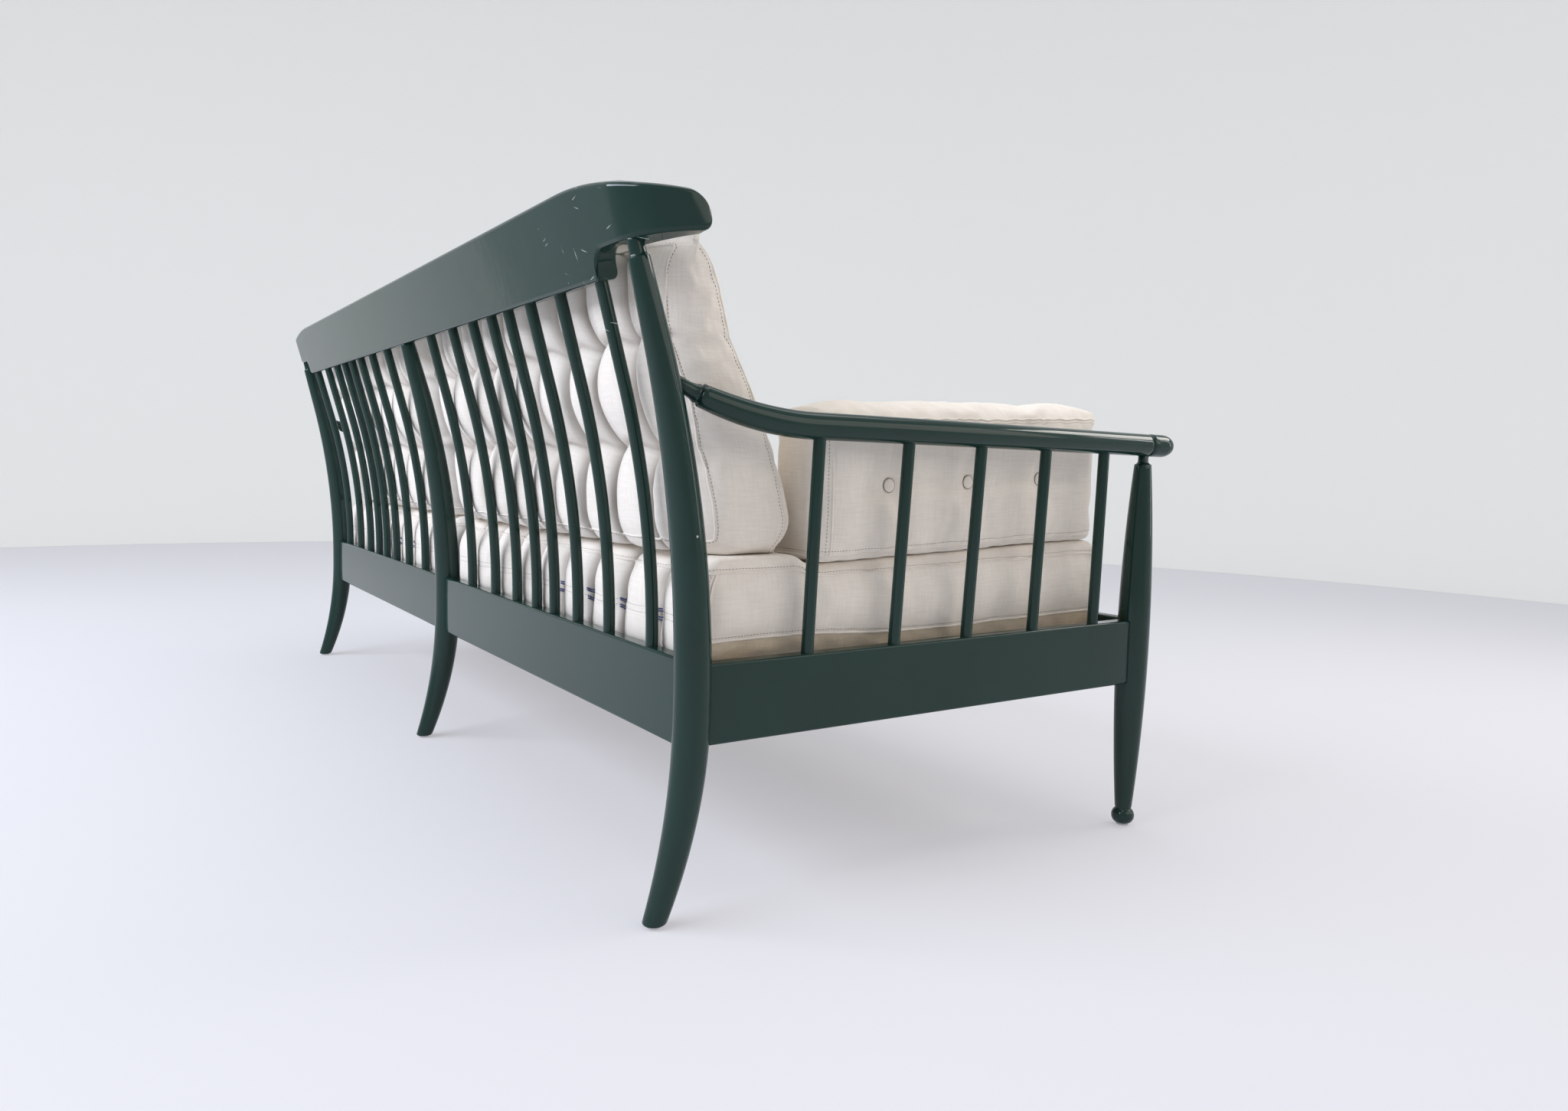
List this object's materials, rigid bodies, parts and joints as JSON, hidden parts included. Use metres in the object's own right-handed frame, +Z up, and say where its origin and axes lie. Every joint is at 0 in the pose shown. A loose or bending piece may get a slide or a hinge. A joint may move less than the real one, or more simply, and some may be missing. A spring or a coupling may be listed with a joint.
{
  "type": "spindle-back sofa",
  "caption": "Long sofa with a lacquered turned-wood frame, leaning spindle back, curved crest rail and loose tufted linen seat, back and arm cushions.",
  "frame": {"origin": "on the floor, in the middle of the sofa's outer size across and from front to back", "axes": "+X along the sofa to the right for someone facing its seat, +Y towards its back, +Z up; the seat faces -Y"},
  "size_m": [2.0718, 0.9208, 0.8531],
  "materials": {
    "lacquered_wood": "dark green gloss lacquer",
    "bare_wood": "sanded, unlacquered",
    "rubber_webbing": "matt",
    "steel": "zinc plated",
    "linen": "plain natural linen weave"
  },
  "bodies": {
    "frame": {"crest_rail": "lacquered_wood", "back_leg_left": "lacquered_wood", "back_leg_middle": "lacquered_wood", "back_leg_right": "lacquered_wood", "front_leg_left": "lacquered_wood", "front_leg_middle": "lacquered_wood", "front_leg_right": "lacquered_wood", "back_rail_left": "lacquered_wood", "front_rail_left": "lacquered_wood", "side_rail_left": "lacquered_wood", "armrest_left": "lacquered_wood", "back_rail_right": "lacquered_wood", "front_rail_right": "lacquered_wood", "side_rail_right": "lacquered_wood", "armrest_right": "lacquered_wood", "back_spindle_left_1": "lacquered_wood", "back_spindle_left_2": "lacquered_wood", "back_spindle_left_3": "lacquered_wood", "back_spindle_left_4": "lacquered_wood", "back_spindle_left_5": "lacquered_wood", "back_spindle_left_6": "lacquered_wood", "back_spindle_left_7": "lacquered_wood", "back_spindle_left_8": "lacquered_wood", "back_spindle_right_1": "lacquered_wood", "back_spindle_right_2": "lacquered_wood", "back_spindle_right_3": "lacquered_wood", "back_spindle_right_4": "lacquered_wood", "back_spindle_right_5": "lacquered_wood", "back_spindle_right_6": "lacquered_wood", "back_spindle_right_7": "lacquered_wood", "back_spindle_right_8": "lacquered_wood", "arm_spindle_left_1": "lacquered_wood", "arm_spindle_left_2": "lacquered_wood", "arm_spindle_left_3": "lacquered_wood", "arm_spindle_left_4": "lacquered_wood", "arm_spindle_left_5": "lacquered_wood", "arm_spindle_right_1": "lacquered_wood", "arm_spindle_right_2": "lacquered_wood", "arm_spindle_right_3": "lacquered_wood", "arm_spindle_right_4": "lacquered_wood", "arm_spindle_right_5": "lacquered_wood", "centre_rail": "bare_wood", "strap_battens": "bare_wood", "corner_blocks": "bare_wood", "seat_straps": "rubber_webbing", "strap_clips": "steel", "frame_screws": "steel", "foot_glides": "steel"},
    "seat_left": {"seat_cushion_left": "linen"},
    "back_left": {"back_cushion_left": "linen", "back_buttons_left": "linen"},
    "arm_left": {"arm_cushion_left": "linen", "arm_buttons_left": "linen"},
    "seat_right": {"seat_cushion_right": "linen"},
    "back_right": {"back_cushion_right": "linen", "back_buttons_right": "linen"},
    "arm_right": {"arm_cushion_right": "linen", "arm_buttons_right": "linen"}
  },
  "joints": [
    {"name": "seat_left_lift", "type": "slide", "parent": "frame", "child": "seat_left", "axis": [0, 0, 1], "range_m": [0, 0.56]},
    {"name": "back_left_lift", "type": "slide", "parent": "seat_left", "child": "back_left", "axis": [0, 0, 1], "range_m": [0, 0.42]},
    {"name": "arm_left_lift", "type": "slide", "parent": "seat_left", "child": "arm_left", "axis": [0, 0, 1], "range_m": [0, 0.44]},
    {"name": "seat_right_lift", "type": "slide", "parent": "frame", "child": "seat_right", "axis": [0, 0, 1], "range_m": [0, 0.56]},
    {"name": "back_right_lift", "type": "slide", "parent": "seat_right", "child": "back_right", "axis": [0, 0, 1], "range_m": [0, 0.42]},
    {"name": "arm_right_lift", "type": "slide", "parent": "seat_right", "child": "arm_right", "axis": [0, 0, 1], "range_m": [0, 0.44]}
  ]
}
